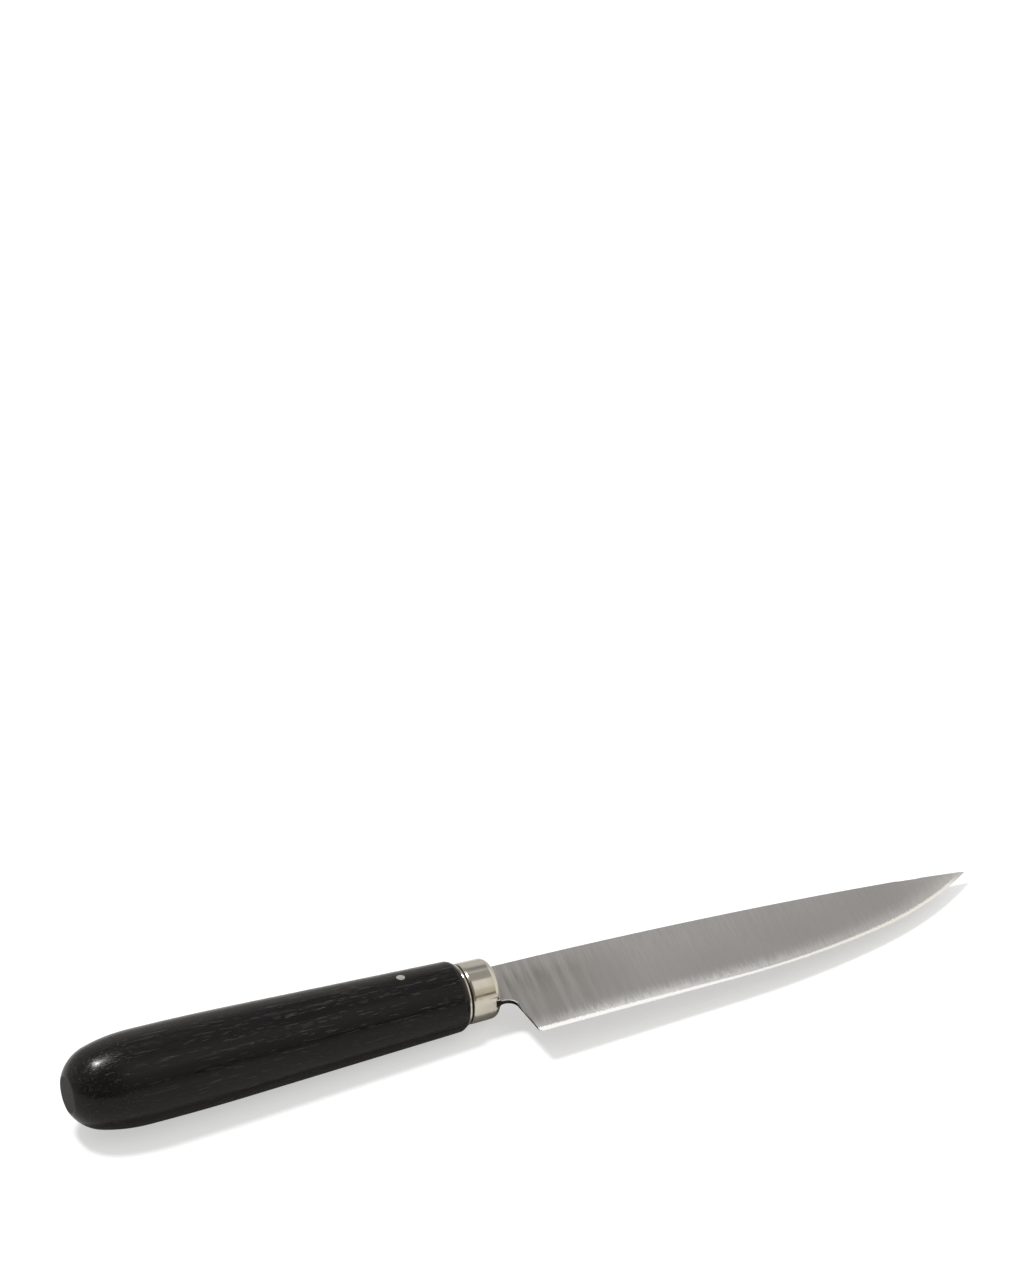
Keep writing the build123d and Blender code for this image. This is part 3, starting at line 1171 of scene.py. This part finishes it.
def pinMetal():
    made, tree, shader = newMaterial("pinMetal")
    shader.inputs["Metallic"].default_value = 1.0
    point = useGroup(tree, knifePoint)["Point"]
    filed = addStreaks(tree, point, pinLook["filed"])
    lines = rampValue(tree, filed, *pinLook["filedTone"])
    body = blendColour(tree, lines, pinLook["bright"], pinLook["dull"])
    # painted shade round the rim of each end, where the pin meets the wood
    parts = splitPoint(tree, point)
    flat = addNode(tree, "CombineXYZ", {"X": parts["X"], "Y": parts["Y"]}).outputs[0]
    centre = Vector((-wood["pinStation"], 0, 0))
    away = addNode(tree, "VectorMath", {0: flat, 1: centre}, operation="DISTANCE").outputs["Value"]
    rimShade = rampValue(tree, away, *(pin["radius"] + edge for edge in pinLook["ringEdge"]))
    plug(tree, blendColour(tree, rimShade, body, pinLook["rimShade"]), shader.inputs["Base Color"])
    rough = rampValue(tree, filed, *pinLook["filedTone"], *pinLook["roughness"])
    plug(tree, rough, shader.inputs["Roughness"])
    addBump(tree, shader, filed, pinLook)
    return made


beddingLook = {
    "dark": (0.10, 0.055, 0.03, 1),
    "pale": (0.17, 0.10, 0.06, 1),
    "clouds": {"Size": 2.0, "Sharpness": 0.2},
    "roughness": (0.45, 0.6),
}


def beddingResin():
    made, tree, shader = newMaterial("beddingResin")
    point = useGroup(tree, knifePoint)["Point"]
    cloudy = useGroup(tree, smudges, Point=point, **beddingLook["clouds"])["Mask"]
    body = blendColour(tree, cloudy, beddingLook["dark"], beddingLook["pale"])
    plug(tree, body, shader.inputs["Base Color"])
    rough = rampValue(tree, cloudy, 0.0, 1.0, *beddingLook["roughness"])
    plug(tree, rough, shader.inputs["Roughness"])
    return made


def isBevelFace(face):
    # the bevels lean more towards the edge than the ground faces do
    return abs(face.normal.z) > 0.9 and face.normal.y < -0.07


def dress(piece, *materials):
    piece.data.materials.clear()
    for made in materials:
        piece.data.materials.append(made)


dress(handleWood, darkWood())
dress(ferruleCap, paleFerrule())
dress(bladeSteel, groundSteel(), honedSteelHighlight())
for face in bladeSteel.data.polygons:
    face.material_index = 1 if isBevelFace(face) else 0
dress(pinHead, pinMetal())
for place in tangBedding.material_slots:
    place.material = beddingResin()
print("materials made")


# camera, where the photograph was taken from

view = {
    "place": (-0.38547, -0.818025, 0.618821),
    "azimuth": -24.9725,
    "elevation": 30.0099,
    "roll": -1.6419,
    "lens": 138.141,
}

bpy.ops.object.camera_add(location=view["place"])
camera = bpy.context.object
camera.name = "photoView"
camera.rotation_euler = (
    Matrix.Rotation(radians(view["azimuth"]), 3, "Z")
    @ Matrix.Rotation(radians(90 - view["elevation"]), 3, "X")
    @ Matrix.Rotation(radians(view["roll"]), 3, "Z")
).to_euler()
camera.data.lens = view["lens"]
camera.data.sensor_width = 36
camera.data.clip_start = 0.01
camera.data.dof.use_dof = False
bpy.context.scene.camera = camera
print("camera set")


# light: one small high lamp, a wide soft fill, and a grey room with a lit card at the near side

light = {
    "lampDirection": (-0.275, 0.19, 0.942),
    "lampDistance": 1.2,
    "lampSize": 0.25,
    "lampPower": 10.5,
    "fillHeight": 1.6,
    "fillSize": 3.0,
    "fillPower": 12.0,
    "fillColour": (0.95, 0.98, 1.0),
}


def addLamp(name, shape, place, size, power):
    bpy.ops.object.light_add(type="AREA", location=place)
    lamp = bpy.context.object
    lamp.name = name
    lamp.data.shape = shape
    lamp.data.size = size
    lamp.data.energy = power
    lamp.rotation_euler = place.to_track_quat("Z", "Y").to_euler()
    return lamp


toLamp = Vector(light["lampDirection"]).normalized()
addLamp("highLamp", "DISK", toLamp * light["lampDistance"], light["lampSize"], light["lampPower"])
overhead = Vector((0, 0, light["fillHeight"]))
fill = addLamp("softFill", "SQUARE", overhead, light["fillSize"], light["fillPower"])
fill.data.color = light["fillColour"]
fill.visible_glossy = False
fill.visible_camera = False

# the room's tones by angle over the knife, from the near floor line over the top to the far one
roomTones = [
    (0, (0.70, 0.66, 0.58)),
    (6, (0.56, 0.51, 0.43)),
    (8.5, (0.08, 0.072, 0.06)),
    (12.5, (0.10, 0.09, 0.072)),
    (16.5, (0.52, 0.46, 0.37)),
    (33, (0.57, 0.52, 0.43)),
    (41, (0.73, 0.71, 0.66)),
    (68, (0.76, 0.74, 0.69)),
    (75, (0.34, 0.325, 0.30)),
    (104, (0.33, 0.325, 0.315)),
    (110, (0.56, 0.555, 0.545)),
    (116, (0.33, 0.325, 0.315)),
    (127, (0.22, 0.215, 0.205)),
    (132, (0.26, 0.255, 0.245)),
    (138, (0.50, 0.49, 0.475)),
    (158, (0.56, 0.545, 0.525)),
    (180, (0.48, 0.47, 0.45)),
]

# The near side's card is this wide, by the direction's part along X, and past it the room is
# dark. The two sides begin and end at angles like those above.
card = {
    "left": (-0.12, 0.12),
    "right": (0.60, 0.48),
    "beyond": (0.17, 0.16, 0.145, 1),
    "sidePanel": (0.52, 0.62),
    "sideTone": (0.80, 0.77, 0.70, 1),
    "nearSide": (80, 74),
    "lowSide": (150, 120),
    "backdrop": (0.93, 0.93, 0.93, 1),
}


def makeRoom():
    room = bpy.data.worlds.new("greyRoom")
    bpy.context.scene.world = room
    room.use_nodes = True
    tree = room.node_tree
    tree.nodes.clear()
    parts = splitPoint(tree, addNode(tree, "TexCoord").outputs["Generated"])
    angle = math(tree, "ARCTAN2", parts["Z"], times(tree, parts["Y"], -1.0))
    nearSide = rampValue(tree, angle, *map(radians, card["nearSide"]))
    ramp = addNode(tree, "ValToRGB", {0: math(tree, "DIVIDE", angle, pi)})
    stops = ramp.color_ramp.elements
    for stop, (degrees, tone) in zip([stops[0], stops[1]], [roomTones[0], roomTones[-1]]):
        stop.position = degrees / 180
        stop.color = (*tone, 1)
    for degrees, tone in roomTones[1:-1]:
        stops.new(degrees / 180).color = (*tone, 1)
    onCard = times(
        tree,
        rampValue(tree, parts["X"], *card["left"]),
        rampValue(tree, parts["X"], *card["right"]),
    )
    offCard = times(tree, nearSide, math(tree, "SUBTRACT", 1.0, onCard))
    colour = blendColour(tree, offCard, ramp.outputs[0], card["beyond"])
    lowSide = rampValue(tree, angle, *map(radians, card["lowSide"]))
    onPanel = times(tree, lowSide, rampValue(tree, parts["X"], *card["sidePanel"]))
    colour = blendColour(tree, onPanel, colour, card["sideTone"])
    seen = addNode(tree, "LightPath").outputs["Is Camera Ray"]
    colour = blendColour(tree, seen, colour, card["backdrop"])
    background = addNode(tree, "Background", {"Color": colour, "Strength": 1.0})
    output = tree.nodes.new("ShaderNodeOutputWorld")
    plug(tree, background.outputs[0], output.inputs[0])


makeRoom()

floorLook = {
    "size": 8,
    "top": -0.00002,
    "tone": (0.58, 0.57, 0.55, 1),
    "seenTone": (0.50, 0.503, 0.508, 1),
    "glow": 0.52,
    "roughness": 0.9,
}


def paleFloor():
    # a lit table: it glows a little where it is seen, so that shadows on it stay pale and even
    made, tree, shader = newMaterial("paleFloor")
    seen = addNode(tree, "LightPath").outputs["Is Camera Ray"]
    tone = blendColour(tree, seen, floorLook["tone"], floorLook["seenTone"])
    plug(tree, tone, shader.inputs["Base Color"])
    shader.inputs["Emission Color"].default_value = (1, 1, 1, 1)
    glow = times(tree, seen, floorLook["glow"])
    plug(tree, glow, shader.inputs["Emission Strength"])
    shader.inputs["Roughness"].default_value = floorLook["roughness"]
    shader.inputs["Specular IOR Level"].default_value = 0.0
    return made


clearSelection()
bpy.ops.mesh.primitive_plane_add(size=floorLook["size"], location=(0, 0, floorLook["top"]))
floor = bpy.context.object
floor.name = "paleFloor"
dress(floor, paleFloor())
bpy.context.scene.view_settings.view_transform = "Standard"
print("light and floor set")
